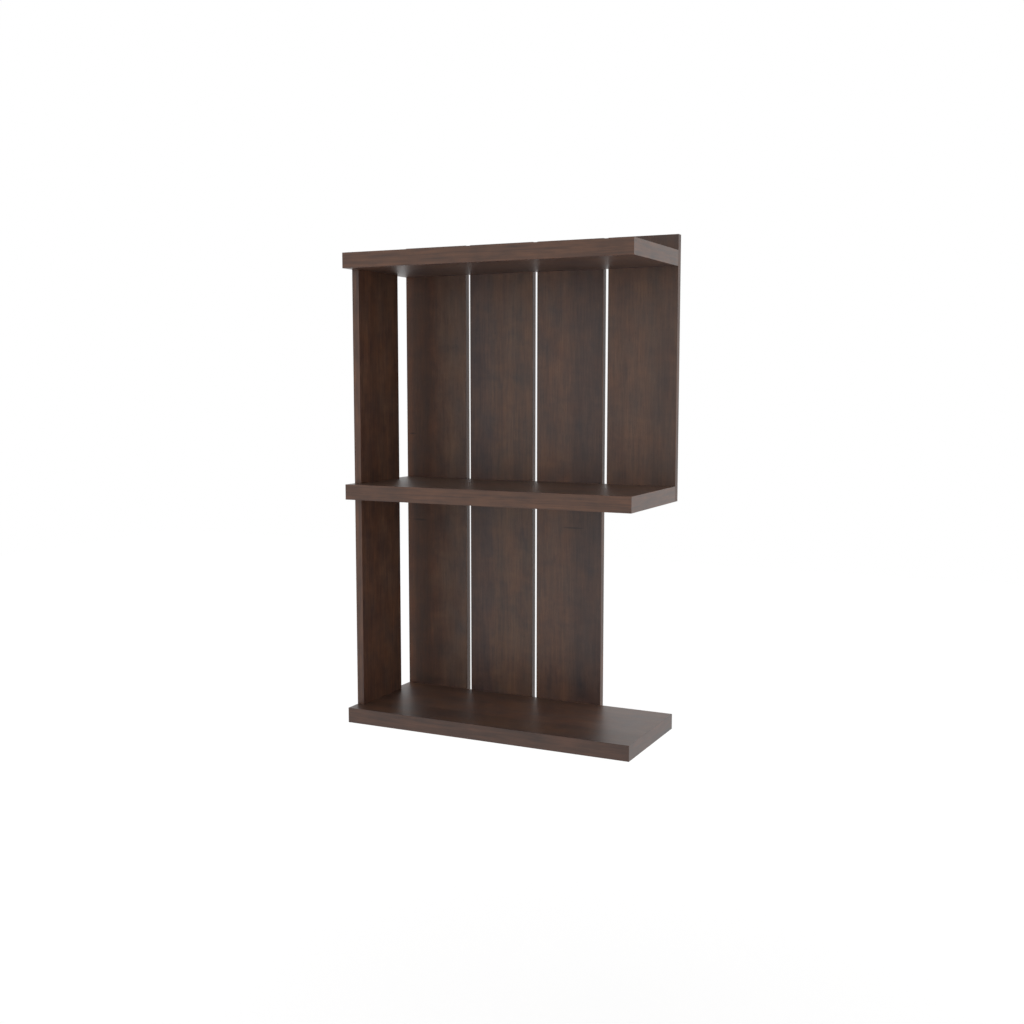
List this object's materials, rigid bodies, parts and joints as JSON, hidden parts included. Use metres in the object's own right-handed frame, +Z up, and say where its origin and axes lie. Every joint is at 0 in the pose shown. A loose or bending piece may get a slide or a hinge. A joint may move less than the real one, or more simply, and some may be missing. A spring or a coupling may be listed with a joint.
{
  "type": "wall shelf",
  "caption": "Wall-hung open shelf unit in dark wood decor: shelves in front of spaced upright back slats, a narrow side panel at the left, one slat cut short at the right.",
  "frame": {"origin": "on the wall plane, midway between the round ends of the two keyholes that the shelf hangs by", "axes": "+X to the right as seen from the room, +Y into the wall, +Z up; the shelf's front faces -Y"},
  "size_m": [0.6, 0.255, 0.9615],
  "materials": {
    "decor_board": "satin dark walnut decor",
    "panel_board": "satin dark walnut decor",
    "front_edge_band": "satin dark walnut decor, grain lengthwise",
    "side_edge_band": "satin dark walnut decor",
    "zinc_plated_steel": "bright zinc plated",
    "cap_plastic": "satin",
    "beech_dowel": "unfinished beech"
  },
  "bodies": {
    "root": {"top_shelf": "decor_board", "middle_shelf": "decor_board", "bottom_shelf": "decor_board", "back_slat_1": "decor_board", "back_slat_2": "decor_board", "back_slat_3": "decor_board", "short_back_slat": "decor_board", "upper_side_panel": "panel_board", "lower_side_panel": "panel_board", "top_shelf_front_band": "front_edge_band", "top_shelf_back_band": "side_edge_band", "top_shelf_left_band": "side_edge_band", "top_shelf_right_band": "side_edge_band", "middle_shelf_front_band": "front_edge_band", "middle_shelf_back_band": "side_edge_band", "middle_shelf_left_band": "side_edge_band", "middle_shelf_right_band": "side_edge_band", "bottom_shelf_front_band": "front_edge_band", "bottom_shelf_back_band": "side_edge_band", "bottom_shelf_left_band": "side_edge_band", "bottom_shelf_right_band": "side_edge_band", "back_slat_1_left_band": "side_edge_band", "back_slat_1_right_band": "side_edge_band", "back_slat_1_top_band": "side_edge_band", "back_slat_1_foot_band": "side_edge_band", "back_slat_2_left_band": "side_edge_band", "back_slat_2_right_band": "side_edge_band", "back_slat_2_top_band": "side_edge_band", "back_slat_2_foot_band": "side_edge_band", "back_slat_3_left_band": "side_edge_band", "back_slat_3_right_band": "side_edge_band", "back_slat_3_top_band": "side_edge_band", "back_slat_3_foot_band": "side_edge_band", "short_back_slat_left_band": "side_edge_band", "short_back_slat_right_band": "side_edge_band", "short_back_slat_top_band": "side_edge_band", "short_back_slat_foot_band": "side_edge_band", "upper_side_panel_front_band": "front_edge_band", "upper_side_panel_back_band": "side_edge_band", "lower_side_panel_front_band": "front_edge_band", "lower_side_panel_back_band": "side_edge_band", "top_shelf_slat_screws": "zinc_plated_steel", "middle_shelf_slat_screws": "zinc_plated_steel", "bottom_shelf_slat_screws": "zinc_plated_steel", "upper_panel_screws": "zinc_plated_steel", "lower_panel_screws": "zinc_plated_steel", "upper_screw_caps": "cap_plastic", "lower_screw_caps": "cap_plastic", "upper_panel_dowels": "beech_dowel", "lower_panel_dowels": "beech_dowel", "left_keyhole_plate": "zinc_plated_steel", "right_keyhole_plate": "zinc_plated_steel", "left_keyhole_plate_screws": "zinc_plated_steel", "right_keyhole_plate_screws": "zinc_plated_steel"}
  },
  "joints": []
}
